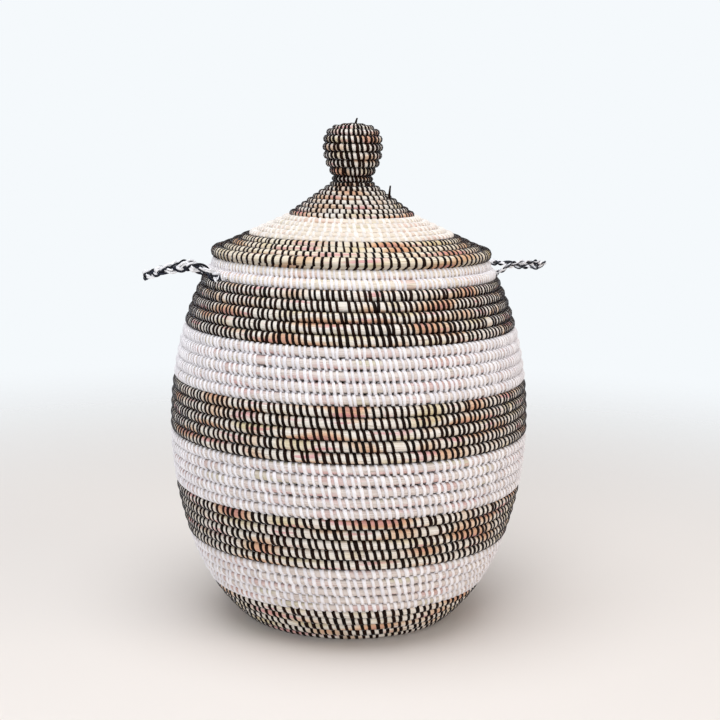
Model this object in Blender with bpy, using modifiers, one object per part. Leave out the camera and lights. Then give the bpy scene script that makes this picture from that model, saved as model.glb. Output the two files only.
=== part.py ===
# Lidded storage basket of coiled grass bound with flat plastic strip, at its real size.
#
# The body is one spiral coil from the centre of the base to the rim. The lid is another, from the crown of its
# knob to its edge. Each coil follows a line of arcs in the half plane of radius and height. A turn runs level
# until the back, where it climbs to the next row, and there the binding changes colour. So each band of rows
# is a solid of its own, which begins and ends on that seam as the coil does.
#
# Metres, +Z up. The handles lie along X, the seam is at the back (+Y), and Z is the axis of the basket.

import math
from dataclasses import dataclass
from functools import partial

import bmesh
import bpy
from mathutils import Matrix, Vector

# Clearances
GAP = 0.0003
RING_CLEARANCE = 0.003

# Facets
FACETS = 32
CLIMB_FACETS = 4
SMALL_FACETS = 10
EDGE_FACETS = 10
BRAID_SIDES = 10
BRAID_STATIONS = 38
KNUCKLE_RINGS = 3
KNOT_RINGS = 3

# Coil of the body
SEAM_ANGLE = math.radians(112.5)
WALL_PITCH = 0.01005
WALL_THICK = 0.0095
GROOVE = 0.0015
RIM_ROUND = 0.0022

# Outline of the body. Headings are degrees above the horizontal, going outwards from the centre of the base.
BUTTON_RADIUS = 0.006
BASE_ROWS = 9
HEEL_LENGTH = 0.0173
HEEL_HEADING = 43.8
BULGE_ROWS = 8
BULGE_HEADING = 69.9
BELLY_HEADING = 107.6
SHOULDER_ROWS = 6
SHOULDER_HEADING = 123.7
WALL_BANDS = (
    ("wall_black_1", "black", 5),
    ("wall_white_1", "white", 5),
    ("wall_black_2", "black", 5),
    ("wall_white_2", "white", 5),
    ("wall_black_3", "black", 5),
    ("wall_white_3", "white", 5),
    ("wall_black_4", "black", 5),
    ("rim_white", "white", 2),
)

# Knob, from the centre of its crown down to its neck
LID_THICK = 0.0090
KNOB_BUTTON = 0.005
KNOB_ROWS = 9
KNOB_PITCH = 0.0082
CROWN_HEADING = -12.0
CORNER_LENGTH = 0.017
CORNER_HEADING = -78.0
CHEEK_LENGTH = 0.028
WAIST_HEADING = -117.0
WAIST_LENGTH = 0.008
NECK_LENGTH = 0.010

# Lid below the knob
CONE_ROWS = 7
CONE_PITCH = 0.0066
CONE_HEADING = -35.5
BROW_LENGTH = 0.008
BRIM_HEADING = -24.5
LID_WHITE_ROWS = 5
LID_WHITE_PITCH = 0.0083
LID_BLACK_ROWS = 3
EDGE_RADIUS = 0.00535

# Ring under the lid
RING_ROWS = 2
RING_PITCH = 0.0088
RING_THICK = 0.0085

# Handles
ROOT_ANGLE = math.radians(12.8)
ROOT_ROWS_BELOW_RIM = 2
SHANK_RADIUS = 0.0030
COLLAR_RADIUS = 0.0042
COLLAR_THICK = 0.0012
COLLAR_EDGE = 0.0005
KNOT_RADIUS = 0.0062
KNOT_HEIGHT = 0.0050
KNUCKLE_RADIUS = 0.0050
HANDLE_REACH = 0.056
HANDLE_LEFT_RISE = 0.0045
HANDLE_RIGHT_RISE = 0.002
BRAID_PITCH = 0.025
STRAND_RADIUS = 0.0025
BRAID_HALF_WIDTH = 0.0023
BRAID_HALF_DEPTH = 0.0009

# Colours, roughness
MATERIALS = {
    "black": ("black_bound_grass_coil", (0.055, 0.046, 0.036), 0.55),
    "white": ("white_bound_grass_coil", (0.80, 0.79, 0.78), 0.60),
    "grass": ("bare_grass_coil", (0.56, 0.42, 0.23), 0.80),
    "braid": ("braided_plastic_strip", (0.30, 0.31, 0.34), 0.45),
}


def clear_scene():
    for obj in list(bpy.data.objects):
        bpy.data.objects.remove(obj, do_unlink=True)


def new_collection(name):
    collection = bpy.data.collections.new(name)
    bpy.context.scene.collection.children.link(collection)
    return collection


def new_material(key):
    name, colour, roughness = MATERIALS[key]
    if name in bpy.data.materials:
        return bpy.data.materials[name]
    material = bpy.data.materials.new(name)
    material.use_nodes = True
    shader = material.node_tree.nodes["Principled BSDF"]
    shader.inputs["Base Color"].default_value = (*colour, 1.0)
    shader.inputs["Roughness"].default_value = roughness
    shader.inputs["Metallic"].default_value = 0.0
    material.diffuse_color = (*colour, 1.0)
    return material


def object_from(bm, name, collection, key, parent=None, smooth_degrees=50.0):
    """A mesh object with rounded shading, in the frame of its parent empty where it has one."""
    mesh = bpy.data.meshes.new(name)
    bm.to_mesh(mesh)
    bm.free()
    mesh.shade_smooth()
    mesh.set_sharp_from_angle(angle=math.radians(smooth_degrees))
    mesh.materials.append(new_material(key))
    obj = bpy.data.objects.new(name, mesh)
    obj.parent = parent
    collection.objects.link(obj)
    return obj


def empty_at(name, collection, location):
    empty = bpy.data.objects.new(name, None)
    empty.location = location
    collection.objects.link(empty)
    return empty


@dataclass
class Arc:
    """One run of an outline: a straight line where its two headings are equal."""

    start: float
    length: float
    radius: float
    height: float
    heading: float
    end_heading: float

    def at(self, distance):
        along = distance - self.start
        turn = (self.end_heading - self.heading) / self.length
        heading = self.heading + turn * along
        if abs(turn) < 1e-6:
            radius = self.radius + along * math.cos(heading)
            return radius, self.height + along * math.sin(heading), heading
        radius = self.radius + (math.sin(heading) - math.sin(self.heading)) / turn
        return radius, self.height - (math.cos(heading) - math.cos(self.heading)) / turn, heading


class Outline:
    """The outside of a wall in the (radius, height) half plane, from the axis outwards."""

    def __init__(self, height, runs, outside):
        self.outside = outside
        self.arcs = []
        start, radius, heading = 0.0, 0.0, 0.0
        for length, end_degrees in runs:
            arc = Arc(start, length, radius, height, heading, math.radians(end_degrees))
            self.arcs.append(arc)
            start += length
            radius, height, heading = arc.at(start)
        self.length = start

    def at(self, distance):
        """Radius, height and the outward normal."""
        arc = next((a for a in self.arcs if distance < a.start + a.length), self.arcs[-1])
        radius, height, heading = arc.at(distance)
        normal = (-self.outside * math.sin(heading), self.outside * math.cos(heading))
        return radius, height, normal

    def below_surface(self, distance, depth):
        radius, height, normal = self.at(distance)
        return radius - depth * normal[0], height - depth * normal[1]

    def distance_at_radius(self, wanted, depth, low, high):
        """Where the surface at this depth has the wanted radius, on a stretch whose radius grows."""
        for _ in range(50):
            middle = (low + high) / 2
            if self.below_surface(middle, depth)[0] < wanted:
                low = middle
            else:
                high = middle
        return low


@dataclass
class Coil:
    """Rows wound along an outline. `pitches` holds (rows, pitch) for each stretch, after the closed centre."""

    outline: Outline
    button: float
    pitches: tuple
    thick: float
    outer_groove: float
    inner_groove: float

    def distance(self, row):
        """Distance along the outline of the lower edge of this row, which may be a fraction."""
        at = self.button
        for rows, pitch in self.pitches:
            step = min(row, rows)
            at += step * pitch
            row -= step
            if row <= 0:
                break
        return at


def climb(turns):
    """Rows climbed after this many turns: level, then a smooth rise of one row before the seam."""
    whole = math.floor(turns)
    share = CLIMB_FACETS / FACETS
    part = max(0.0, (turns - whole - 1 + share) / share)
    return whole + part * part * (3 - 2 * part)


def round_axis(radius, angle, height):
    return Vector((radius * math.cos(angle), radius * math.sin(angle), height))


class CoilBand:
    """The mesh of rows first_row to last_row of a coil.

    Edge i is the line between two rows at station i, and row i lies between edges i and i + FACETS. A coil
    that starts or ends in this band tapers to nothing over the climb, which leaves that side of it level.
    """

    def __init__(self, coil, first_row, last_row, starts=False, ends=False, hollow=True):
        self.coil = coil
        self.hollow = hollow
        self.starts = starts
        self.ends = ends
        self.first = first_row * FACETS - (CLIMB_FACETS if starts else 0)
        self.last = last_row * FACETS
        self.low = coil.distance(first_row)
        self.high = coil.distance(last_row) - (RIM_ROUND if ends else 0.0)
        self.bm = bmesh.new()
        self.build()

    def edge_distance(self, i):
        distance = self.coil.distance(max(0.0, climb(i / FACETS)))
        if self.starts:
            distance = max(distance, self.low)
        elif i < self.first + FACETS:
            distance += GAP / 2
        if self.ends:
            distance = min(distance, self.high)
        elif i >= self.last:
            distance -= GAP / 2
        return distance

    def vertex(self, station, distance, depth):
        """A point of the band. The two ends of the coil at the seam stand half a gap back from it."""
        radius, height = self.coil.outline.below_surface(distance, depth)
        angle = SEAM_ANGLE + 2 * math.pi * station / FACETS
        if not self.starts and station in (self.first, self.first + FACETS):
            angle += GAP / 2 / radius
        if not self.ends and station in (self.last, self.last + FACETS):
            angle -= GAP / 2 / radius
        return self.bm.verts.new(round_axis(radius, angle, height))

    def crest(self, i, groove, depth_of):
        """The middle of row i, which bulges less where the row is thin."""
        low = self.edge_distance(i)
        high = self.edge_distance(i + FACETS)
        full = self.coil.distance(climb(i / FACETS) + 1) - self.coil.distance(max(0.0, climb(i / FACETS)))
        share = min(1.0, (high - low) / full) if full else 0.0
        return self.vertex(i, (low + high) / 2, depth_of(groove * (1 - share)))

    def face(self, *verts):
        self.bm.faces.new(verts)

    def side(self, edges, crests):
        """The rows' surface on one side of the wall."""
        for i in range(self.first, self.last):
            if crests:
                self.face(edges[i], edges[i + 1], crests[i + 1], crests[i])
                self.face(crests[i], crests[i + 1], edges[i + 1 + FACETS], edges[i + FACETS])
            else:
                self.face(edges[i], edges[i + 1], edges[i + 1 + FACETS], edges[i + FACETS])

    def fan(self, centre, edges, first):
        for i in range(first, first + FACETS):
            self.face(centre, edges[i], edges[i + 1])

    def cap(self, i, outer, outer_crests, inner, inner_crests):
        """The cut end of row i, on the seam."""
        ring = [outer[i]]
        ring += [outer_crests[i]] if outer_crests else []
        ring += [outer[i + FACETS], inner[i + FACETS]]
        ring += [inner_crests[i]] if inner_crests else []
        ring += [inner[i]]
        self.face(*ring)

    def build(self):
        coil = self.coil
        edges = range(self.first, self.last + FACETS + 1)
        rows = range(self.first, self.last + 1)
        outer = {i: self.vertex(i, self.edge_distance(i), coil.outer_groove) for i in edges}
        outer_crests = {}
        if coil.outer_groove:
            outer_crests = {i: self.crest(i, coil.outer_groove, lambda depth: depth) for i in rows}
        self.side(outer, outer_crests)
        if self.hollow:
            self.build_wall(outer, outer_crests, edges, rows)
        else:
            self.build_solid(outer, outer_crests)
        bmesh.ops.remove_doubles(self.bm, verts=self.bm.verts, dist=1e-6)
        bmesh.ops.dissolve_degenerate(self.bm, edges=self.bm.edges, dist=1e-6)
        bmesh.ops.recalc_face_normals(self.bm, faces=self.bm.faces)

    def build_wall(self, outer, outer_crests, edges, rows):
        coil = self.coil
        inner_depth = coil.thick - coil.inner_groove
        inner = {i: self.vertex(i, self.edge_distance(i), inner_depth) for i in edges}
        inner_crests = {}
        if coil.inner_groove:
            inner_crests = {i: self.crest(i, coil.inner_groove, lambda depth: coil.thick - depth) for i in rows}
        self.side(inner, inner_crests)
        if self.starts:
            for side, depth in ((outer, coil.outer_groove), (inner, inner_depth)):
                radius, height = coil.outline.below_surface(0.0, depth)
                self.fan(self.bm.verts.new((0.0, 0.0, height)), side, self.first)
        else:
            for i in range(self.first, self.first + FACETS):
                self.face(outer[i], outer[i + 1], inner[i + 1], inner[i])
            self.cap(self.first, outer, outer_crests, inner, inner_crests)
        top = range(self.last, self.last + FACETS)
        if self.ends:
            ridge = {i: self.vertex(i, self.high + RIM_ROUND, coil.thick / 2) for i in (*top, self.last + FACETS)}
            for i in top:
                self.face(outer[i], outer[i + 1], ridge[i + 1], ridge[i])
                self.face(ridge[i], ridge[i + 1], inner[i + 1], inner[i])
        else:
            for i in top:
                self.face(outer[i], outer[i + 1], inner[i + 1], inner[i])
            self.cap(self.last, outer, outer_crests, inner, inner_crests)

    def build_solid(self, outer, outer_crests):
        """A coil wound solid, closed by its crown and by a flat foot where the next band begins."""
        crown = self.coil.outline.below_surface(0.0, self.coil.outer_groove)[1]
        self.fan(self.bm.verts.new((0.0, 0.0, crown)), outer, self.first)
        foot = self.bm.verts.new((0.0, 0.0, outer[self.last].co.z))
        self.fan(foot, outer, self.last)
        self.face(outer[self.last], outer_crests[self.last], outer[self.last + FACETS], foot)


def body_coil():
    """The body's outline, from the centre of the base up to the rim."""
    wall_rows = sum(rows for _, _, rows in WALL_BANDS)
    belly_rows = wall_rows - 1 - BULGE_ROWS - SHOULDER_ROWS
    base_flat = BUTTON_RADIUS + (BASE_ROWS + 1) * WALL_PITCH - HEEL_LENGTH
    runs = (
        (base_flat, 0.0),
        (HEEL_LENGTH, HEEL_HEADING),
        (BULGE_ROWS * WALL_PITCH, BULGE_HEADING),
        (belly_rows * WALL_PITCH, BELLY_HEADING),
        (SHOULDER_ROWS * WALL_PITCH, SHOULDER_HEADING),
    )
    outline = Outline(0.0, runs, outside=-1)
    pitches = ((BASE_ROWS + wall_rows, WALL_PITCH),)
    return Coil(outline, BUTTON_RADIUS, pitches, WALL_THICK, GROOVE, 0.0)


def rim_section(body):
    """The points of the rim's top, which the lid's edge rests on, as (radius, height)."""
    end = body.outline.length
    return (
        body.outline.below_surface(end - WALL_PITCH / 2, 0.0),
        body.outline.below_surface(end - RIM_ROUND, GROOVE),
        body.outline.below_surface(end, WALL_THICK / 2),
    )


def lid_coil(rim_radius):
    """The lid's outline, from the crown of the knob, with the crown at height 0.

    The black outer rows take what length is left, so that the edge coil comes over the rim.
    """
    crown = KNOB_BUTTON + KNOB_ROWS * KNOB_PITCH - CORNER_LENGTH - CHEEK_LENGTH - WAIST_LENGTH - NECK_LENGTH
    runs = (
        (crown, CROWN_HEADING),
        (CORNER_LENGTH, CORNER_HEADING),
        (CHEEK_LENGTH, WAIST_HEADING),
        (WAIST_LENGTH, WAIST_HEADING),
        (NECK_LENGTH, CONE_HEADING),
        (CONE_ROWS * CONE_PITCH, CONE_HEADING),
        (BROW_LENGTH, BRIM_HEADING),
    )
    upper = Outline(0.0, runs, outside=1)
    slope = math.radians(-BRIM_HEADING)
    brow_end = upper.below_surface(upper.length, LID_THICK / 2)[0]
    brim = (rim_radius - brow_end) / math.cos(slope) - EDGE_RADIUS - GAP
    outline = Outline(0.0, (*runs, (brim, BRIM_HEADING)), outside=1)
    black_pitch = (BROW_LENGTH + brim - LID_WHITE_ROWS * LID_WHITE_PITCH) / LID_BLACK_ROWS
    pitches = (
        (KNOB_ROWS, KNOB_PITCH),
        (CONE_ROWS, CONE_PITCH),
        (LID_WHITE_ROWS, LID_WHITE_PITCH),
        (LID_BLACK_ROWS, black_pitch),
    )
    return Coil(outline, KNOB_BUTTON, pitches, LID_THICK, GROOVE, 0.0)


def edge_centre(lid):
    """Centre of the lid's edge coil, as (radius, height) in the lid outline's own frame."""
    radius, height = lid.outline.below_surface(lid.outline.length, LID_THICK / 2)
    slope = math.radians(BRIM_HEADING)
    reach = EDGE_RADIUS + GAP
    return radius + reach * math.cos(slope), height + reach * math.sin(slope)


def seat_height(body, edge_radius):
    """Height of the edge coil's centre when it rests on the rim."""
    heights = []
    for radius, height in rim_section(body):
        across = radius - edge_radius
        if abs(across) < EDGE_RADIUS:
            heights.append(height + GAP + math.sqrt(EDGE_RADIUS**2 - across**2))
    return max(heights)


def build_base(body, parts):
    """The base: flat underneath, where it has worn level, and ridged inside."""
    base = Coil(body.outline, body.button, body.pitches, WALL_THICK, 0.0, GROOVE)
    band = CoilBand(base, 0, BASE_ROWS, starts=True)
    object_from(band.bm, "base_coil", parts, "white")


def build_wall(body, parts):
    made = {}
    row = BASE_ROWS
    top = BASE_ROWS + sum(rows for _, _, rows in WALL_BANDS)
    for name, key, rows in WALL_BANDS:
        band = CoilBand(body, row, row + rows, ends=row + rows == top)
        made[name] = object_from(band.bm, name, parts, key)
        row += rows
    return made


def build_lid(lid, parts, parent):
    row = 0
    bands = (
        ("lid_knob", "black", KNOB_ROWS),
        ("lid_cone_black", "black", CONE_ROWS),
        ("lid_band_white", "white", LID_WHITE_ROWS),
        ("lid_band_black", "black", LID_BLACK_ROWS),
    )
    last_row = sum(rows for _, _, rows in bands)
    for name, key, rows in bands:
        crown = row == 0
        band = CoilBand(lid, row, row + rows, starts=crown, ends=row + rows == last_row, hollow=not crown)
        object_from(band.bm, name, parts, key, parent)
        row += rows


def build_lid_edge(lid, parts, parent):
    """The thicker finishing coil round the lid."""
    radius, height = edge_centre(lid)
    bpy.ops.mesh.primitive_torus_add(
        major_segments=FACETS, minor_segments=EDGE_FACETS, major_radius=radius, minor_radius=EDGE_RADIUS
    )
    edge = bpy.context.object
    for collection in edge.users_collection:
        collection.objects.unlink(edge)
    parts.objects.link(edge)
    edge.name = "lid_edge_coil"
    edge.data.shade_smooth()
    edge.data.materials.append(new_material("black"))
    edge.parent = parent
    edge.location = (0.0, 0.0, height)


def turned(name, profile, steps, collection, key, parent=None):
    """A closed turned solid. The profile runs down its outer side, at +X."""
    bm = bmesh.new()
    verts = [bm.verts.new((radius, 0.0, height)) for radius, height in profile]
    for a, b in zip(verts, verts[1:]):
        bm.edges.new((a, b))
    if profile[0][0] > 0:
        bm.edges.new((verts[-1], verts[0]))
    obj = object_from(bm, name, collection, key, parent)
    screw = obj.modifiers.new("turn", "SCREW")
    screw.axis = "Z"
    screw.steps = screw.render_steps = steps
    screw.use_merge_vertices = True
    screw.merge_threshold = 0.0001
    return obj


def build_locating_ring(body, lid, parts, parent):
    """Two rows sewn under the lid, which stand inside the mouth."""
    mouth = body.outline.below_surface(body.outline.length - WALL_PITCH / 2, WALL_THICK)[0]
    outside = mouth - RING_CLEARANCE
    inside = outside - RING_THICK
    knob_end = lid.distance(KNOB_ROWS)
    tops = []
    for radius in (outside - GROOVE, inside + GROOVE):
        distance = lid.outline.distance_at_radius(radius, LID_THICK, knob_end, lid.outline.length)
        tops.append(lid.outline.below_surface(distance, LID_THICK)[1] - GAP / math.cos(math.radians(BRIM_HEADING)))
    outer_top, inner_top = tops
    outer = [(outside - GROOVE, outer_top)]
    inner = [(inside + GROOVE, inner_top)]
    for row in range(RING_ROWS):
        for side, crest, groove, top in (
            (outer, outside, outside - GROOVE, outer_top),
            (inner, inside, inside + GROOVE, inner_top),
        ):
            side.append((crest, top - (row + 0.5) * RING_PITCH))
            side.append((groove, top - (row + 1) * RING_PITCH))
    turned("lid_locating_ring", outer + inner[::-1], FACETS, parts, "grass", parent)


def root_frame(body, side, end):
    """Where a handle is laced through the wall: a point on the outside, with Z along the outward normal.

    side is 1 for the right handle and -1 for the left, and end is -1 for its front root and 1 for the back.
    """
    distance = body.outline.length - ROOT_ROWS_BELOW_RIM * WALL_PITCH
    radius, height, normal = body.outline.at(distance)
    angle = end * ROOT_ANGLE if side > 0 else math.pi - end * ROOT_ANGLE
    outward = Vector((normal[0] * math.cos(angle), normal[0] * math.sin(angle), normal[1]))
    turn = outward.to_track_quat("Z", "Y").to_matrix().to_4x4()
    return Matrix.Translation(round_axis(radius, angle, height)) @ turn


def knuckle_height():
    """Height of a handle's hinge centre over the outside of the wall."""
    return GAP + COLLAR_THICK + GAP + KNUCKLE_RADIUS


def build_root(name, frame, mouth_radius, parts):
    """A knot inside the wall, a shank through it and a collar outside, on the wall's normal."""
    flat_sag = mouth_radius * (1 - math.cos(math.pi / FACETS))
    knot_face = -(WALL_THICK + flat_sag + 2 * GAP)
    collar_top = GAP + COLLAR_THICK
    profile = [
        (0.0, collar_top),
        (COLLAR_RADIUS - COLLAR_EDGE, collar_top),
        (COLLAR_RADIUS, collar_top - COLLAR_EDGE),
        (COLLAR_RADIUS, GAP),
        (SHANK_RADIUS, GAP),
        (SHANK_RADIUS, knot_face),
    ]
    for ring in range(KNOT_RINGS):
        swing = math.pi / 2 * ring / KNOT_RINGS
        profile.append((KNOT_RADIUS * math.cos(swing), knot_face - KNOT_HEIGHT * math.sin(swing)))
    profile.append((0.0, knot_face - KNOT_HEIGHT))
    root = turned(name, profile, SMALL_FACETS, parts, "braid")
    root.matrix_world = frame


def cut_shank_hole(frame, name, bands, cutters):
    """A round hole through the wall for a shank, cut in the bands that meet there."""
    bm = bmesh.new()
    radius = SHANK_RADIUS + GAP
    bmesh.ops.create_cone(
        bm, cap_ends=True, segments=SMALL_FACETS, radius1=radius, radius2=radius, depth=4 * WALL_THICK
    )
    cutter = object_from(bm, name, cutters, "braid")
    cutter.matrix_world = frame
    cutter.hide_render = True
    cutter.display_type = "WIRE"
    for band in bands:
        cut = band.modifiers.new(name, "BOOLEAN")
        cut.operation = "DIFFERENCE"
        cut.solver = "EXACT"
        cut.object = cutter


def braid_radius(angle, phase):
    """Reach of a three-strand plait's section from its centre, across at angle 0 and through at 90 degrees."""
    reach = 0.0
    for strand in range(3):
        swing = phase + 2 * math.pi * strand / 3
        x = BRAID_HALF_WIDTH * math.sin(swing)
        y = BRAID_HALF_DEPTH * math.sin(2 * swing)
        along = x * math.cos(angle) + y * math.sin(angle)
        across = along * along - x * x - y * y + STRAND_RADIUS**2
        if across > 0:
            reach = max(reach, along + math.sqrt(across))
    return reach


def loop_point(swing, half_chord, rise):
    """The middle line of a handle that points along +X, from its front root to its back one."""
    out = math.sin(swing)
    return Vector((HANDLE_REACH * out, -half_chord * math.cos(swing), rise * math.sin(math.pi * out)))


def loop_frame(swing, half_chord, rise):
    """The point and the plait's two cross directions: up, and level across the loop."""
    step = 1e-4
    before = loop_point(swing - step, half_chord, rise)
    after = loop_point(swing + step, half_chord, rise)
    along = (after - before).normalized()
    level = along.cross(Vector((0.0, 0.0, 1.0))).normalized()
    return loop_point(swing, half_chord, rise), along, level.cross(along), level


def add_ring(bm, centre, up, level, reach):
    """One section of the plait, with its wide way upright."""
    ring = []
    for side in range(BRAID_SIDES):
        angle = 2 * math.pi * side / BRAID_SIDES
        offset = up * math.cos(angle) + level * math.sin(angle)
        ring.append(bm.verts.new(centre + offset * reach(angle)))
    return ring


def add_knuckle(bm, centre, away, up, level):
    """The rounded end of a loop, a ball about its hinge centre, from its tip to where the plait leaves it."""
    tip = bm.verts.new(centre + away * KNUCKLE_RADIUS)
    rings = []
    for ring in range(1, KNUCKLE_RINGS + 1):
        swing = math.radians(135.0) * ring / KNUCKLE_RINGS
        middle = centre + away * KNUCKLE_RADIUS * math.cos(swing)
        reach = KNUCKLE_RADIUS * math.sin(swing)
        rings.append(add_ring(bm, middle, up, level, lambda _, reach=reach: reach))
    return tip, rings


def build_handle(name, body, side, rise, parts):
    """A plaited loop with its origin in the middle of the hinge axis through its two roots."""
    knuckle = Vector((0.0, 0.0, knuckle_height()))
    front = root_frame(body, 1, -1) @ knuckle
    half_chord = -front.y
    hinge = empty_at(f"{name}_hinge", parts, (side * front.x, 0.0, front.z))
    bm = bmesh.new()
    start_tip, start_rings = loop_end(bm, 0.0, half_chord, rise)
    end_tip, end_rings = loop_end(bm, math.pi, half_chord, rise)
    spans = [math.pi * station / BRAID_STATIONS for station in range(BRAID_STATIONS + 1)]
    points = [loop_point(swing, half_chord, rise) for swing in spans]
    rings = list(start_rings)
    run = 0.0
    total = sum((b - a).length for a, b in zip(points, points[1:]))
    for before, swing in enumerate(spans[1:-1]):
        run += (points[before + 1] - points[before]).length
        if KNUCKLE_RADIUS < run < total - KNUCKLE_RADIUS:
            point, _, up, level = loop_frame(swing, half_chord, rise)
            phase = 2 * math.pi * run / BRAID_PITCH
            rings.append(add_ring(bm, point, up, level, partial(braid_radius, phase=phase)))
    rings += end_rings[::-1]
    for a, b in zip(rings, rings[1:]):
        for i in range(BRAID_SIDES):
            j = (i + 1) % BRAID_SIDES
            bm.faces.new((a[i], a[j], b[j], b[i]))
    for tip, ring in ((start_tip, rings[0]), (end_tip, rings[-1])):
        for i in range(BRAID_SIDES):
            bm.faces.new((tip, ring[i], ring[(i + 1) % BRAID_SIDES]))
    if side < 0:
        bmesh.ops.scale(bm, vec=(-1.0, 1.0, 1.0), verts=bm.verts)
    bmesh.ops.recalc_face_normals(bm, faces=bm.faces)
    object_from(bm, f"{name}_loop", parts, "braid", hinge)


def loop_end(bm, swing, half_chord, rise):
    """The knuckle at one end of a loop, facing away from the plait."""
    centre, along, up, level = loop_frame(swing, half_chord, rise)
    away = -along if swing == 0.0 else along
    return add_knuckle(bm, centre, away, up, level)


def build_handles(body, bands, parts, cutters):
    mouth = body.outline.at(body.outline.length - ROOT_ROWS_BELOW_RIM * WALL_PITCH)[0]
    crossed = (bands["wall_black_4"], bands["rim_white"])
    for label, side, rise in (("left", -1, HANDLE_LEFT_RISE), ("right", 1, HANDLE_RIGHT_RISE)):
        for end_label, end in (("front", -1), ("back", 1)):
            frame = root_frame(body, side, end)
            build_root(f"handle_{label}_root_{end_label}", frame, mouth, parts)
            cut_shank_hole(frame, f"shank_hole_{label}_{end_label}", crossed, cutters)
        build_handle(f"handle_{label}", body, side, rise, parts)


def main():
    clear_scene()
    parts = new_collection("lidded_basket")
    cutters = new_collection("lidded_basket_cutters")
    body = body_coil()
    build_base(body, parts)
    bands = build_wall(body, parts)
    build_handles(body, bands, parts, cutters)

    last_row = body.outline.length - WALL_PITCH / 2
    rim_radius = body.outline.below_surface(last_row, WALL_THICK / 2)[0]
    lid = lid_coil(rim_radius)
    edge_radius, edge_height = edge_centre(lid)
    crown_height = seat_height(body, edge_radius) - edge_height
    lid_origin = empty_at("lid", parts, (0.0, 0.0, crown_height))
    build_lid(lid, parts, lid_origin)
    build_lid_edge(lid, parts, lid_origin)
    build_locating_ring(body, lid, parts, lid_origin)


main()
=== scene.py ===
# Looks of the lidded basket: a bundle of dry grass wound in a spiral, and every strip of
# plastic that binds it.
#
# Each piece is modelled flat with Blender's own operators, as a maker lays out a strip before
# winding it. One function then winds it on its coil. On a flat piece X counts strips along the
# coil, Y goes once round the bundle from its inward side, and Z is the height over the bundle in
# metres.

import math

import bmesh
import bpy
import numpy as np
from mathutils import Matrix, Vector


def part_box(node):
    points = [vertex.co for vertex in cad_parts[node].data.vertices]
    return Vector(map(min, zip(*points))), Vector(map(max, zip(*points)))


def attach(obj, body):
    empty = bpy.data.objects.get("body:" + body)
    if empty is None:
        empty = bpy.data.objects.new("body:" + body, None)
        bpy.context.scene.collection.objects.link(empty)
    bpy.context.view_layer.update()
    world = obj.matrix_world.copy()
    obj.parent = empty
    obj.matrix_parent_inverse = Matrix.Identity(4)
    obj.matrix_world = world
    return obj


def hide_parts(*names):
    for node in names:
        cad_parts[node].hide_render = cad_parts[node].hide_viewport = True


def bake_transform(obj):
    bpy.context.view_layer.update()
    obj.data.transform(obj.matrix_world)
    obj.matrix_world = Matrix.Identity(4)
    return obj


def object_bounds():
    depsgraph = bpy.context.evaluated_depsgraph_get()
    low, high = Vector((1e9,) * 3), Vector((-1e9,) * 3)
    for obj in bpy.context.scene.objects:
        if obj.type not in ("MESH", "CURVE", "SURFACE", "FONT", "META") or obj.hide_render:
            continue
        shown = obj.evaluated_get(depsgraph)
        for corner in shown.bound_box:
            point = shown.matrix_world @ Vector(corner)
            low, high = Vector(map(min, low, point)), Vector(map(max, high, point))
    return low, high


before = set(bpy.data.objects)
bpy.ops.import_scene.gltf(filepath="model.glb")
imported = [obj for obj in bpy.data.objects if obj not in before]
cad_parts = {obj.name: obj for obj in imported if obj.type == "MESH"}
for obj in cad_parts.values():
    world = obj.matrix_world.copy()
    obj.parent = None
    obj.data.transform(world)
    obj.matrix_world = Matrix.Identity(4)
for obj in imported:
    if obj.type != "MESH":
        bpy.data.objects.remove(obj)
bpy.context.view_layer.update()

# The coil's line, as the solids have it
SEAM = math.radians(112.5)
CLIMB = 1 / 8
WALL_PITCH = 0.01005
WALL_THICK = 0.0095
BODY_BUTTON = 0.006
BODY_ROWS = 46
BODY_RUNS = ((0.0892, 0.0), (0.0173, 43.8), (0.0804, 69.9), (0.2211, 107.6), (0.0603, 123.7))
CROWN_HEIGHT = 0.466243
LID_THICK = 0.009
LID_BUTTON = 0.005
LID_ROWS = ((8, 0.0082), (2, 0.0041), (7, 0.0066), (5, 0.0083), (3, 0.0093744))
LID_RUNS = (
    (0.0158, -12.0),
    (0.017, -78.0),
    (0.028, -117.0),
    (0.008, -117.0),
    (0.010, -35.5),
    (0.0462, -35.5),
    (0.008, -24.5),
    (0.061623, -24.5),
)
EDGE_RADIUS = 0.00535
RING_ROWS = 2
RING_PITCH = 0.0088
RING_THICK = 0.0085
RING_LAP = 0.0008
CENTRE_HOLE = 0.0003

# The bundle: its sides, how square its section is, how far each grass is pressed in all round,
# and how far it stands out between two strips
BUNDLE_SIDES = 16
SQUARENESS = 0.95
PRESSED = {"straw": -0.0002, "tan_straw": -0.0002, "pale_straw": -0.0007, "cream_straw": -0.0003}
PILLOW = 0.00018

# A strip: its half width when flat, how far its upper edges are drawn in, the height of its
# top, how deep it is drawn between two rows, and how it spreads there
STRIP_STEPS = 12
STRIP_HALF = 0.4
STRIP_DRAWN_IN = 0.82
STRIP_WIDEST = 0.0045
STRIP_THICK = 0.001
STRIP_TOP = 0.00042
STRIP_TUCK = 0.0009
STRIP_TUCK_ABOVE = 0.3
STRIP_FLARE = 0.35
SQUEEZED = 0.07
BODY_LEAN = 0.48
LID_LEAN = 0.32
HOOP_LEAN = 0.1
STRIP_MM = 6.5
STRIP_WIDE_MM = 4.5
GIRTH_MM = 31.0
CREASE_SHIFT_MM = 7.3

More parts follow.
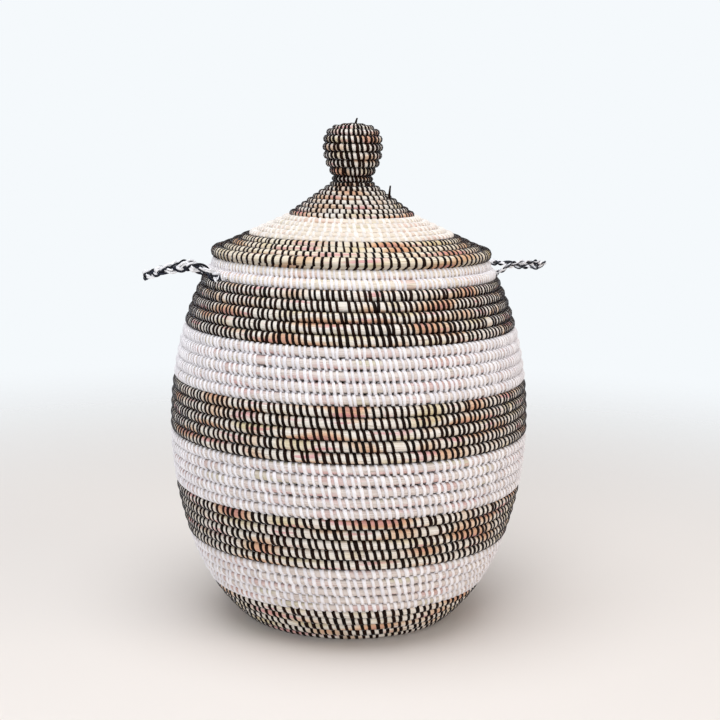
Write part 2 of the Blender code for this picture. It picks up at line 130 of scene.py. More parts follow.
# The maker's hand, as spreads: the spacing's drift, and each strip's place, width, slant and
# height. A strip may also share its neighbour's hole, or be left out.
TICKS = 16
DRIFT = 0.035
DRIFT_TICKS = 5
BESIDE = 0.07
BROAD = 0.12
BROAD_LIMITS = (0.7, 1.3)
TILT = 0.10
PROUD = 0.00005
SHARES_HOLE = 0.014
SHARED_TILT = 0.5
LEFT_OUT = 0.002
FIRST_SEED = 100
BODY_SEED, LID_SEED, RING_SEED, PLAIT_SEED = 3, 5, 7, 41

# Strips in a turn at these rows, more where the maker began a new colour
BODY_STRIPS = (
    (-1, 6), (0, 13), (2, 30), (5, 56), (9, 92), (13.9, 108), (14, 123), (18.9, 126), (19, 140),
    (23.9, 148), (24, 155), (29, 156), (31, 171), (36, 174), (38.9, 171), (39, 163), (44, 170),
    (46, 168),
)
LID_STRIPS = (
    (-1, 7), (0, 18), (2, 35), (4, 31), (10, 30), (11.5, 30), (12, 36), (14, 40), (15, 54),
    (17, 61), (18, 67), (21.9, 77), (22, 105), (25, 109),
)
EDGE_STRIPS = 109
RING_STRIPS = 105
# Where the photo shows a strip left out of the body, in turns
BARE = (30.433, 37.31)

# Handles: how far a plait reaches out, how far it rises at its roots, how far its tip then
# droops, how far its front half stands over its back half, and how far it is rolled over, in
# degrees
HANDLE_SHAPES = {
    "left": (0.0548, 0.0105, 0.0132, 0.0028, 10),
    "right": (0.0558, 0.0062, 0.0052, 0.0032, 55),
}
HINGE_X = 0.13994
HINGE_HEIGHT = 0.3303
HALF_CHORD = 0.03179
ROOT_OUTSIDE = Vector((0.13411, -0.03047, 0.32707))
ROOT_NORMAL = Vector((0.8583, -0.1950, 0.4746))
ROOT_SPAN = (-0.013, 0.004)

# A plait: the length of one full pass, how far strands swing aside and through, a strip's half
# width and thickness, how far it closes up at its roots, and its mix of strips
PLAIT_PITCH = 0.024
PLAIT_SWING = 0.0024
PLAIT_DEPTH = 0.0012
PLAIT_STRIP = 0.0010
PLAIT_STRIP_THICK = 0.0005
PLAIT_STRIPS = 6
PLAIT_WHITES = (2, 3, 5)
PLAIT_SIDES = 8
PLAIT_STATIONS = 261
PLAIT_SMOOTHED = 6
PLAIT_ROOT = 0.014
PLAIT_CLOSED = 0.25
# How far its pace, its strands' swing, its strips' width and their places wander
PACE_DRIFT = 0.35
WIDTH_DRIFT = 0.16
PLACE_DRIFT = 0.0003
DRIFT_STATIONS = 31

# Turns of strip round a lacing outside the wall: radius, thickness, height and whether white.
# The knot inside has its turns tilted about X and Y, in degrees.
LACING_TURNS = ((0.0026, 0.0007, 0.0002, False), (0.0022, 0.0006, 0.0012, True))
KNOT_TURNS = ((0, 0, 0), (62, 20, 1), (-58, 35, 0), (15, 80, 1), (40, -60, 0))
KNOT_DEPTH = -0.0128
KNOT_RADIUS = 0.0032
KNOT_STRIP = 0.0014
KNOT_CORE = 0.0026

# Cut ends of strip left standing: where, which way, how it curls, its colour and what it is on
LOOSE_WIDTH = 0.0028
LOOSE_THICK = 0.0003
LOOSE_ENDS = (
    ((0.001, -0.004, 0.4640), (0.0005, 0.000, 0.008), (0.0002, -0.003, -0.001), "black", "lid"),
    ((0.0229, -0.0398, 0.3985), (-0.001, -0.004, 0.011), (0.002, 0.004, 0.001), "black", "lid"),
    ((0.0215, -0.0402, 0.3985), (-0.004, -0.003, 0.005), (0.001, 0.003, -0.003), "black", "lid"),
    ((-0.131, -0.039, 0.3290), (0.004, -0.006, 0.003), (0.003, -0.001, -0.003), "white", "basket"),
    ((-0.130, -0.042, 0.3270), (0.006, -0.004, 0.001), (0.002, -0.001, 0.002), "black", "basket"),
)


def colour(code):
    """An sRGB hex value as linear red, green, blue and alpha."""
    channels = [int(code[i : i + 2], 16) / 255 for i in (1, 3, 5)]
    linear = (c / 12.92 if c <= 0.04045 else ((c + 0.055) / 1.055) ** 2.4 for c in channels)
    return tuple(linear) + (1.0,)


# Materials


def add(tree, kind, settings=None, sockets=None, stops=None):
    """Adds a node with its own settings, its sockets' values or links, and a ramp's stops."""
    node = tree.nodes.new(kind)
    for name, value in (settings or {}).items():
        setattr(node, name, value)
    for name, value in (sockets or {}).items():
        if isinstance(value, bpy.types.NodeSocket):
            tree.links.new(value, node.inputs[name])
        else:
            node.inputs[name].default_value = value
    if stops:
        ramp = node.color_ramp.elements
        while len(ramp) < len(stops):
            ramp.new(0.5)
        for element, (place, code) in zip(ramp, stops):
            element.position = place
            element.color = colour(code)
    return node


def new_material(name):
    """A material with its node tree and its shader."""
    material = bpy.data.materials.new(name)
    material.use_nodes = True
    tree = material.node_tree
    return material, tree, tree.nodes["Principled BSDF"]


def mixed(tree, factor, first, second, how="MIX"):
    """Two colours mixed, each a socket or a linear colour."""
    sockets = {0: factor, 6: first, 7: second}
    settings = {"data_type": "RGBA", "blend_type": how}
    return add(tree, "ShaderNodeMix", settings, sockets).outputs[2]


def ranged(tree, value, start, end, low=0.0, high=1.0):
    """A value between start and end as one between low and high."""
    sockets = {0: value, 1: start, 2: end, 3: low, 4: high}
    return add(tree, "ShaderNodeMapRange", None, sockets).outputs[0]


def reckoned(tree, how, *values):
    """One sum worked out from values or sockets."""
    return add(tree, "ShaderNodeMath", {"operation": how}, dict(enumerate(values))).outputs[0]


def drawn_out_noise(tree, place, along, across, detail, start=(0.0, 0.0, 0.0)):
    """Noise in long streaks. Its scales along and across are in steps to a millimetre."""
    sockets = {"Vector": place, "Location": start, "Scale": (along, across, 1.0)}
    streaks = add(tree, "ShaderNodeMapping", None, sockets).outputs[0]
    sockets = {"Vector": streaks, "Scale": 1.0, "Detail": detail}
    return add(tree, "ShaderNodeTexNoise", None, sockets).outputs[0]


def dry_grass(name, stems, patches, tint, pink, groove_shade_strength):
    """Dry savanna grass, cut and laid in a round bundle. The eye sees fine stems side by side
    along the coil, each its own straw colour, thin dark gaps between some, and now and then a
    stretch dyed pink or left green.
    """
    material, tree, shader = new_material(name)
    place = add(tree, "ShaderNodeUVMap", {"uv_map": "flat"}).outputs[0]

    # A stem is about 1.1 mm wide and keeps its colour for some centimetres.
    stem = drawn_out_noise(tree, place, 0.03, 0.95, 3.0)
    straw = add(tree, "ShaderNodeValToRGB", None, {0: stem}, stems).outputs[0]

    # Dyed, tanned or green stretches are 40 to 80 mm long and take in most of the bundle.
    patch = drawn_out_noise(tree, place, 0.015, 0.05, 1.0)
    dyed = add(tree, "ShaderNodeValToRGB", None, {0: patch}, patches).outputs[0]
    grass = mixed(tree, tint, straw, dyed, "MULTIPLY")

    # Some stems were dyed pink for another job, and show for about 40 mm.
    some = drawn_out_noise(tree, place, 0.022, 0.15, 2.0, start=(3.0, 7.0, 0.0))
    grass = mixed(tree, ranged(tree, some, 0.58, 0.68, 0.0, pink), grass, colour("#D88F94"))

    # Gaps between stems, 0.2 mm wide in life, are drawn about 0.4 mm wide so that they show.
    gaps = drawn_out_noise(tree, place, 0.045, 2.1, 2.0)
    dark = ranged(tree, gaps, 0.34, 0.43, 0.55, 0.0)
    stems_shown = mixed(tree, dark, grass, colour("#6E5942"))

    # Painted shade: the grass darkens into the grooves between rows, from 3.6 mm off the crest,
    # where the strips and the next row shade it.
    off = add(tree, "ShaderNodeSeparateXYZ", None, {0: place}).outputs["Y"]
    groove_shade = ranged(tree, reckoned(tree, "ABSOLUTE", off), 3.6, 6.8, 0.0, groove_shade_strength)
    shaded = mixed(tree, groove_shade, stems_shown, colour("#4C4038"))

    # The stems' round backs are 1.1 mm apart.
    wave = add(
        tree,
        "ShaderNodeTexWave",
        {"wave_type": "BANDS", "bands_direction": "Y"},
        {"Vector": place, "Scale": 0.2856, "Distortion": 1.2, "Detail": 1.0, "Detail Scale": 0.15},
    ).outputs["Fac"]
    backs = {"Strength": 0.7, "Distance": 0.00022, "Height": reckoned(tree, "ADD", wave, gaps)}
    bump = add(tree, "ShaderNodeBump", None, backs)
    tree.links.new(shaded, shader.inputs["Base Color"])
    tree.links.new(bump.outputs[0], shader.inputs["Normal"])
    shader.inputs["Roughness"].default_value = 0.52
    shader.inputs["IOR"].default_value = 1.45
    shader.inputs["Specular IOR Level"].default_value = 0.3
    return material


def plastic_strip(name, deep, light, roughness, gloss, haze=0.0):
    """Polyethylene strip cut from sacking and mats, drawn tight round the bundle. The eye sees a
    smooth satin plastic with lengthwise creases that catch the light, and each strip a little
    lighter or darker. A haze of dust greys dark strips where they turn away.
    """
    material, tree, shader = new_material(name)
    place = add(tree, "ShaderNodeUVMap", {"uv_map": "flat"}).outputs[0]
    strip = add(tree, "ShaderNodeAttribute", {"attribute_name": "strip"}).outputs["Fac"]

    # Creases run the length of the strip, about 0.7 mm apart.
    crease = drawn_out_noise(tree, place, 0.12, 1.4, 2.0)
    tone = reckoned(tree, "MULTIPLY_ADD", crease, 0.7, strip)
    base = mixed(tree, ranged(tree, tone, 0.35, 1.35), colour(deep), colour(light))
    worn = ranged(tree, crease, 0.3, 0.7, roughness - 0.06, roughness + 0.1)
    creases = {"Strength": 0.8, "Distance": 0.00025, "Height": crease}
    bump = add(tree, "ShaderNodeBump", None, creases)
    tree.links.new(base, shader.inputs["Base Color"])
    tree.links.new(worn, shader.inputs["Roughness"])
    tree.links.new(bump.outputs[0], shader.inputs["Normal"])
    shader.inputs["IOR"].default_value = 1.5
    shader.inputs["Specular IOR Level"].default_value = gloss
    shader.inputs["Sheen Weight"].default_value = haze
    shader.inputs["Sheen Roughness"].default_value = 0.14
    shader.inputs["Sheen Tint"].default_value = colour("#CFD3DC")
    return material


def stem_colours(*codes):
    """The colours of stems, from rare dark ones through the common ones to rare pale ones."""
    return tuple(zip((0.28, 0.40, 0.50, 0.60, 0.72), codes))


STRAW_STEMS = stem_colours("#CCBEA8", "#E4DCCF", "#F0EBE4", "#DFD4C6", "#F7F4F1")
TAN_STEMS = stem_colours("#CEB994", "#E7DAC2", "#F2EADA", "#E2D0B4", "#F9F3E8")
# PALE_STEMS, for the body's white bands, and CREAM_STEMS, for the rim and the lid's white band,
# are one pale grass over its own pale colour: PALE_STEMS is darker as painted shade, and
# CREAM_STEMS is lighter as painted light from above.
PALE_STEMS = stem_colours("#BCAAA0", "#D8CBC4", "#E5DCD6", "#D3C4BB", "#F0E9E4")
CREAM_STEMS = stem_colours("#D2C4B0", "#E6DAC8", "#F0E6D8", "#E2D3C0", "#F8F1E7")

# The tints of stretches of grass, from green through none to tan and pink
STRAW_PATCHES = (
    (0.30, "#E9DDB4"),
    (0.38, "#F8F1DE"),
    (0.43, "#FFFFFF"),
    (0.52, "#FFFFFF"),
    (0.58, "#F6DCC4"),
    (0.64, "#EBB58E"),
    (0.71, "#D58E84"),
)
PALE_PATCHES = (
    (0.32, "#ECEFD6"),
    (0.39, "#FFFFFF"),
    (0.54, "#FFFFFF"),
    (0.60, "#F9E6E8"),
    (0.66, "#F1D0D2"),
    (0.73, "#DDB49E"),
)

# Grass: its stems, its stretches, and how strong their tint, the pink stems and the painted shade
# in the grooves are
GRASSES = {
    "straw": ("dry_grass", STRAW_STEMS, STRAW_PATCHES, 0.85, 0.75, 0.40),
    "tan_straw": ("sunned_grass", TAN_STEMS, STRAW_PATCHES, 0.85, 0.75, 0.35),
    "pale_straw": ("grey_dry_grass", PALE_STEMS, PALE_PATCHES, 0.8, 0.3, 0.8),
    "cream_straw": ("bleached_grass", CREAM_STEMS, PALE_PATCHES, 0.6, 0.3, 0.4),
}

# Strip: its darkest and lightest colour, its roughness, its gloss and its haze
STRIPS = {
    "black": ("black_polyethylene_strip_drawn_tight", "#0A0301", "#1E0B04", 0.42, 0.06, 0.8),
    "cream": ("cream_polyethylene_strip_drawn_tight", "#E2DBD4", "#F4EEE8", 0.45, 0.3),
    "white": ("white_polyethylene_strip_drawn_tight", "#E4E1E5", "#F7F5F8", 0.42, 0.35),
    "navy": ("navy_black_strip_plaited", "#06070D", "#151929", 0.40, 0.2),
    "handle_white": ("white_strip_plaited", "#E4E5EB", "#F9F9FB", 0.40, 0.4),
}

FINISHES = {
    key: dry_grass(f"{name}_laid_in_a_bundle", *looks) for key, (name, *looks) in GRASSES.items()
}
FINISHES.update({key: plastic_strip(*looks) for key, looks in STRIPS.items()})


# The coil's geometry


class Outline:
    """The outside of a coiled wall in the half plane of radius and height, as runs of (length,
    end heading).
    """

    def __init__(self, radius, height, heading, runs, outside):
        self.outside = outside
        start, heading = 0.0, math.radians(heading)
        table = []
        for length, end_degrees in runs:
            end = math.radians(end_degrees)
            bend = (end - heading) / length
            table.append((start, radius, height, heading, bend))
            chord = length * np.sinc(bend * length / 2 / np.pi)
            radius += chord * math.cos(heading + bend * length / 2)
            height += chord * math.sin(heading + bend * length / 2)
            start, heading = start + length, end
        self.table = np.array(table).T

    def under(self, distance, depth):
        """Radius and height of points this far along the outline and this deep under it."""
        starts, radii, heights, headings, bends = self.table
        run = np.clip(np.searchsorted(starts, distance, side="right") - 1, 0, len(starts) - 1)
        along = distance - starts[run]
        half_bend = bends[run] * along / 2
        chord = along * np.sinc(half_bend / np.pi)
        middle = headings[run] + half_bend
        heading = middle + half_bend
        radius = radii[run] + chord * np.cos(middle) + depth * self.outside * np.sin(heading)
        height = heights[run] + chord * np.sin(middle) - depth * self.outside * np.cos(heading)
        return radius, height


def climb(turns):
    """Rows climbed after this many turns: level, then one row's smooth rise before the seam."""
    whole = np.floor(turns)
    part = np.clip((turns - whole - 1 + CLIMB) / CLIMB, 0.0, 1.0)
    return whole + part * part * (3 - 2 * part)


def rounded(around):
    """Sine and cosine of a place round the bundle, whose section is a square with very round
    corners.
    """
    circle = np.stack([np.sin(2 * np.pi * around), np.cos(2 * np.pi * around)])
    return np.sign(circle) * np.abs(circle) ** SQUARENESS


def turned_about_axis(radius, turns, height):
    """Points at this radius and height, this many turns on from the seam."""
    angle = SEAM + 2 * np.pi * turns
    return np.stack([radius * np.cos(angle), radius * np.sin(angle), height], axis=1)


class Coil:
    """A bundle wound along an outline. Turns count rows, and the closed button in the middle is
    row -1.
    """

    def __init__(self, outline, first_row, edges, thick, strips, lean, seed):
        self.outline = outline
        self.rows = first_row + np.arange(len(edges))
        self.edges = np.array(edges)
        self.thick = thick
        self.flips = outline.outside > 0
        self.lean = lean * -outline.outside
        # The maker's spacing drifts by a few hundredths along the coil.
        ticks = np.linspace(self.rows[0] - CLIMB, self.rows[-1], (len(edges) - 1) * TICKS + 1)
        drift = np.random.default_rng(seed).normal(0.0, DRIFT, len(ticks))
        drift = np.convolve(drift, np.ones(DRIFT_TICKS) / DRIFT_TICKS, mode="same")
        per_turn = np.interp(ticks, *zip(*strips)) * (1 + drift)
        steps = (per_turn[1:] + per_turn[:-1]) / 2 * np.diff(ticks)
        self.ticks = ticks
        self.numbers = np.concatenate([[0.0], np.cumsum(steps)])

    def number(self, turns):
        return np.interp(turns, self.ticks, self.numbers)

    def turns(self, number):
        return np.interp(number, self.numbers, self.ticks)

    def spacing(self, turns):
        """Turns from one strip to the next."""
        return self.turns(self.number(turns) + 0.5) - self.turns(self.number(turns) - 0.5)

    def radius(self, turns):
        """Radius of the bundle's outward crest."""
        middle = np.interp(climb(turns) + 0.5, self.rows, self.edges)
        return self.outline.under(middle, 0.0)[0]

    def place(self, turns, around, lift):
        """Points on the bundle, lifted off it by this much."""
        climbed = climb(turns)
        low = np.interp(climbed, self.rows, self.edges)
        high = np.interp(climbed + 1, self.rows, self.edges)
        pitch = np.interp(climbed, self.rows[:-1], np.diff(self.edges))
        share = np.sqrt(np.clip((high - low) / pitch, 0.0, 1.0))
        sine, cosine = rounded(around)
        distance = (low + high) / 2 + ((high - low) / 2 + lift) * sine
        depth = self.thick / 2 - (self.thick / 2 * share + lift) * cosine
        radius, height = self.outline.under(np.maximum(distance, CENTRE_HOLE), depth)
        return turned_about_axis(radius, turns, height)


class Hoop:
    """The thicker coil round the lid's edge: one row, closed on itself, sewn to the row inside
    it.
    """

    def __init__(self, radius, height, strips):
        self.centre = (radius, height)
        self.strips = strips
        self.flips = True
        self.lean = -HOOP_LEAN

    def number(self, turns):
        return np.asarray(turns) * self.strips

    def turns(self, number):
        return np.asarray(number) / self.strips

    def spacing(self, turns):
        return np.full(np.shape(turns), 1 / self.strips)

    def radius(self, turns):
        return np.full(np.shape(turns), self.centre[0])

    def place(self, turns, around, lift):
        """Points on the bundle, whose outward side faces as the lid's edge does."""
        reach = EDGE_RADIUS + lift
        angle = math.radians(90 + LID_RUNS[-1][1]) - 2 * np.pi * around
        radius = self.centre[0] + reach * np.cos(angle)
        return turned_about_axis(radius, turns, self.centre[1] + reach * np.sin(angle))


# Making pieces


def flat_points(bm, name):
    """The flat piece as a mesh, with its points' places as numbers."""
    mesh = bpy.data.meshes.new(name)
    bm.to_mesh(mesh)
    bm.free()
    flat = np.empty(len(mesh.vertices) * 3, np.float32)
    mesh.vertices.foreach_get("co", flat)
    return mesh, flat.reshape(-1, 3).astype(float)


def wound(mesh, places, uv, strip, flips=False):
    """The piece in place. Its flat place stays as its UV map, in millimetres, points closer than
    0.02 mm are joined, and its open ends are closed.
    """
    corners = np.empty(len(mesh.loops), np.int32)
    mesh.loops.foreach_get("vertex_index", corners)
    layer = mesh.uv_layers.new(name="flat")
    layer.uv.foreach_set("vector", uv[corners].astype(np.float32).ravel())
    attribute = mesh.attributes.new("strip", "FLOAT", "POINT")
    attribute.data.foreach_set("value", strip.astype(np.float32))
    mesh.vertices.foreach_set("co", places.astype(np.float32).ravel())
    bm = bmesh.new()
    bm.from_mesh(mesh)
    bmesh.ops.remove_doubles(bm, verts=bm.verts[:], dist=0.00002)
    open_edges = [edge for edge in bm.edges if edge.is_boundary]
    bmesh.ops.holes_fill(bm, edges=open_edges, sides=0)
    if flips:
        bmesh.ops.reverse_faces(bm, faces=bm.faces[:])
    bm.to_mesh(mesh)
    bm.free()
    return mesh


def show(mesh, finishes, body=None, node=None):
    """The finished piece as an object of the basket."""
    mesh.shade_smooth()
    for finish in finishes:
        mesh.materials.append(FINISHES[finish])
    piece = bpy.data.objects.new(mesh.name, mesh)
    bpy.context.scene.collection.objects.link(piece)
    if body:
        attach(piece, body)
    if node:
        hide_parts(node)
    return piece


def slant(lean, around, advance):
    """How far along the coil, in strips, a wrap has gone at this place round the bundle."""
    return np.interp(around, (-0.75, -0.25, 0.25), (advance - lean / 2, lean / 2, -lean / 2))


def lay_bundle(coil, name, first, last, pressed):
    """The grass of some rows: a tube pressed in under each strip, which stands out between."""
    low, high = coil.number(first), coil.number(last)
    halves = np.arange(math.ceil(2 * low), math.floor(2 * high) + 1) / 2
    halves = halves[(halves > low + 0.1) & (halves < high - 0.1)]
    stations = np.unique(np.concatenate([[low], halves, [high]]))
    bm = bmesh.new()
    bmesh.ops.create_grid(bm, x_segments=len(stations) - 1, y_segments=BUNDLE_SIDES, size=0.5)
    mesh, flat = flat_points(bm, name)
    number = stations[np.round((flat[:, 0] + 0.5) * (len(stations) - 1)).astype(int)]
    around = flat[:, 1]
    outward = np.clip(np.cos(2 * np.pi * around), 0.0, 1.0)
    lift = pressed + PILLOW * np.sin(np.pi * number) ** 2 * outward
    lean = (0.0, coil.lean / 2, -coil.lean / 2, 0.0)
    shift = np.interp(around, (-0.5, -0.25, 0.25, 0.5), lean)
    turns = np.clip(coil.turns(number + shift), first, last)
    places = coil.place(turns, around, lift)
    uv = np.stack([number * STRIP_MM, around * GIRTH_MM], axis=1)
    return wound(mesh, places, uv, np.zeros(len(flat)), coil.flips)


def strip_section():
    """One strip laid flat across X: a slab whose upper edges are drawn in."""
    bm = bmesh.new()
    bmesh.ops.create_grid(bm, x_segments=1, y_segments=STRIP_STEPS, size=0.5)
    bmesh.ops.solidify(bm, geom=bm.faces[:], thickness=STRIP_THICK)
    bmesh.ops.scale(bm, vec=(2 * STRIP_HALF, 1.0, 1.0), verts=bm.verts[:])
    upper = [vert for vert in bm.verts if vert.co.z > -STRIP_THICK / 2]
    bmesh.ops.scale(bm, vec=(STRIP_DRAWN_IN, 1.0, 1.0), verts=upper)
    bmesh.ops.translate(bm, vec=(0.0, -0.25, STRIP_TOP), verts=bm.verts[:])
    return bm


def copy_beside(bm, steps, stride):
    """So many copies of everything side by side, this far apart."""
    bmesh.ops.spin(
        bm,
        geom=bm.verts[:] + bm.edges[:] + bm.faces[:],
        axis=(0, 0, 1),
        dvec=(stride, 0, 0),
        angle=0.0,
        steps=steps - 1,
        use_duplicate=True,
    )


def row_of_strips(count, missed):
    """Flat strips side by side, one to a unit of X from 0, without those that were left out."""
    bm = strip_section()
    group = 24
    copy_beside(bm, group, 1.0)
    copy_beside(bm, math.ceil(count / group), float(group))
    spare = [v for v in bm.verts if v.co.x > count - 0.5 or round(v.co.x) in missed]
    bmesh.ops.delete(bm, geom=spare, context="VERTS")
    return bm


def lay_strips(coil, name, first, last, cover, bare, seed):
    """The strips that bind some rows and cover this share of them, each with its own small slips
    of the hand.
    """
    low, high = math.ceil(coil.number(first) + 0.2), math.floor(coil.number(last) - 0.2)
    count = high - low + 1
    chance = np.random.default_rng(seed)
    beside = chance.normal(0.0, BESIDE, count)
    broad = np.clip(chance.normal(1.0, BROAD, count), *BROAD_LIMITS)
    tilt = chance.normal(0.0, TILT, count)
    proud = chance.normal(0.0, PROUD, count)
    shade = chance.random(count)
    # Where a strip is added, it leans over to share its neighbour's hole.
    tilt[chance.random(count) < SHARES_HOLE] -= SHARED_TILT
    missed = set(np.flatnonzero(chance.random(count) < LEFT_OUT))
    missed |= {round(float(coil.number(turns))) - low for turns in bare if first < turns < last}
    mesh, flat = flat_points(row_of_strips(count, missed), name)
    index = np.round(flat[:, 0]).astype(int)
    across = flat[:, 0] - index
    around = flat[:, 1]
    number = low + index + beside[index] + slant(coil.lean, around, 1.0)
    tilted = np.interp(around, (-0.75, -0.25, 0.25), (0.0, 1.0, 0.0)) * np.sign(coil.lean)
    number += tilt[index] * tilted
    turns = coil.turns(number)
    share = np.interp(turns, *zip(*cover))
    widest = STRIP_WIDEST / (2 * np.pi * coil.radius(turns))
    half = np.minimum(widest, share * coil.spacing(turns)) / 2
    # A strip spreads where the rows squeeze it, and goes through the last row's top.
    below, above = (np.exp(-(((around - side) / SQUEEZED) ** 2)) for side in (-0.25, 0.25))
    spread = 1 + STRIP_FLARE * (below + above)
    turns = turns + across / STRIP_HALF * half * broad[index] * spread
    tuck = below - STRIP_TUCK_ABOVE * above
    lift = flat[:, 2] + proud[index] + STRIP_TUCK * tuck
    places = coil.place(turns, around, lift)
    creases = around * GIRTH_MM + index * CREASE_SHIFT_MM
    uv = np.stack([creases, across * STRIP_WIDE_MM], axis=1)
    return wound(mesh, places, uv, shade[index], coil.flips)


# The basket's coils

body_edges = [0.0, *(BODY_BUTTON + WALL_PITCH * np.arange(BODY_ROWS + 1))]
body_line = Outline(0.0, 0.0, 0.0, BODY_RUNS, -1)
body = Coil(body_line, -1, body_edges, WALL_THICK, BODY_STRIPS, BODY_LEAN, BODY_SEED)

lid_pitches = [pitch for rows, pitch in LID_ROWS for _ in range(rows)]
lid_edges = [0.0, *(LID_BUTTON + np.concatenate([[0.0], np.cumsum(lid_pitches)]))]
lid_line = Outline(0.0, CROWN_HEIGHT, 0.0, LID_RUNS, 1)
lid = Coil(lid_line, -1, lid_edges, LID_THICK, LID_STRIPS, LID_LEAN, LID_SEED)

edge_low, edge_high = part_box("lid_edge_coil")
hoop = Hoop(edge_high.x - EDGE_RADIUS, (edge_low.z + edge_high.z) / 2, EDGE_STRIPS)

ring_low, ring_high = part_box("lid_locating_ring")
ring_depth = RING_ROWS * RING_PITCH
ring_top = ring_low.z + ring_depth + RING_LAP
ring_line = Outline(ring_high.x, ring_top, -90.0, ((ring_depth, -90.0),), 1)
ring_edges = RING_PITCH * np.arange(RING_ROWS + 1)
ring_strips = ((0, RING_STRIPS), (RING_ROWS, RING_STRIPS))
ring = Coil(ring_line, 0, ring_edges, RING_THICK, ring_strips, LID_LEAN, RING_SEED)

# Coil, node, its rows, its grass, its strips, and the share that strips cover at these rows
BANDS = (
    (body, "base_coil", -1, 9, "pale_straw", "white", ((0, 0.46),)),
    (body, "wall_black_1", 9, 14, "straw", "black", ((0, 0.49),)),
    (body, "wall_white_1", 14, 19, "pale_straw", "white", ((0, 0.45),)),
    (body, "wall_black_2", 19, 24, "straw", "black", ((0, 0.49),)),
    (body, "wall_white_2", 24, 29, "pale_straw", "white", ((0, 0.46),)),
    (body, "wall_black_3", 29, 34, "straw", "black", ((0, 0.50),)),
    (body, "wall_white_3", 34, 39, "pale_straw", "white", ((0, 0.48),)),
    (body, "wall_black_4", 39, 44, "straw", "black", ((0, 0.54),)),
    (body, "rim_white", 44, 46, "cream_straw", "white", ((0, 0.52),)),
    # From row 7.6 to 8.2 the knob's black strips widen from 0.63 to 0.72 of the row and stay so
    # below: partly real strips, partly painted shade for the neck, which lies in the knob's
    # shadow.
    (lid, "lid_knob", -1, 10, "straw", "black", ((7.6, 0.63), (8.2, 0.72))),
    (lid, "lid_cone_black", 10, 17, "straw", "black", ((10, 0.62), (11, 0.48), (11.6, 0.38))),
    (lid, "lid_band_white", 17, 22, "cream_straw", "cream", ((0, 0.44),)),
    (lid, "lid_band_black", 22, 25, "tan_straw", "black", ((0, 0.37),)),
    (hoop, "lid_edge_coil", 0, 1, "tan_straw", "black", ((0, 0.37),)),
    (ring, "lid_locating_ring", -0.1, RING_ROWS, "cream_straw", "white", ((0, 0.45),)),
)

for seed, (coil, node, first, last, grass, strip, cover) in enumerate(BANDS, FIRST_SEED):
    rides_on = "basket" if coil is body else "lid"
    bare = BARE if coil is body else ()
    bundle = lay_bundle(coil, f"{node}_grass", first, last, PRESSED[grass])
    show(bundle, [grass], rides_on, node)
    binding = lay_strips(coil, f"{node}_strips", first, last, cover, bare, seed)
    show(binding, [strip], rides_on, node)


# The handles


def drift(chance, size, count=1):
    """Smooth random wandering of about this size along a plait, for so many strips."""
    rows = []
    for _ in range(count):
        noise = chance.normal(0.0, 1.0, PLAIT_STATIONS + DRIFT_STATIONS)
        noise = np.convolve(noise, np.hanning(DRIFT_STATIONS), mode="valid")[:PLAIT_STATIONS]
        rows.append(size * noise / noise.std())
    return np.array(rows)


def handle_line(side, reach, rise, droop, twist):
    """The middle of a plait from its front knot, through the wall and round the loop to its back
    knot.
    """
    away = Vector((HINGE_X, 0.0, HINGE_HEIGHT))
    loop = []
    for swing in np.linspace(0.08, math.pi - 0.08, 60):
        out = math.sin(swing)
        # It rises at once from its roots and droops more and more towards its tip.
        height = rise * (1 - (1 - out) ** 6) - droop * out**1.2 + twist * math.sin(2 * swing)
        loop.append(away + Vector((reach * out, -HALF_CHORD * math.cos(swing), height)))
    front = [ROOT_OUTSIDE + ROOT_NORMAL * depth for depth in np.linspace(*ROOT_SPAN, 9)]
    back = [Vector((point.x, -point.y, point.z)) for point in reversed(front)]
    points = np.array([tuple(point) for point in (*front, *loop, *back)])
    pieces = np.linalg.norm(np.diff(points, axis=0), axis=1)
    run = np.concatenate([[0.0], np.cumsum(pieces)])
    even = np.linspace(0.0, run[-1], PLAIT_STATIONS)
    points = np.stack([np.interp(even, run, points[:, axis]) for axis in range(3)], axis=1)
    for _ in range(PLAIT_SMOOTHED):
        points[1:-1] = (points[:-2] + 2 * points[1:-1] + points[2:]) / 4
    points[:, 0] *= side
    return points, run[-1]


def unit(vectors):
    """The same vectors, each one long."""
    return vectors / np.linalg.norm(vectors, axis=1)[:, None]


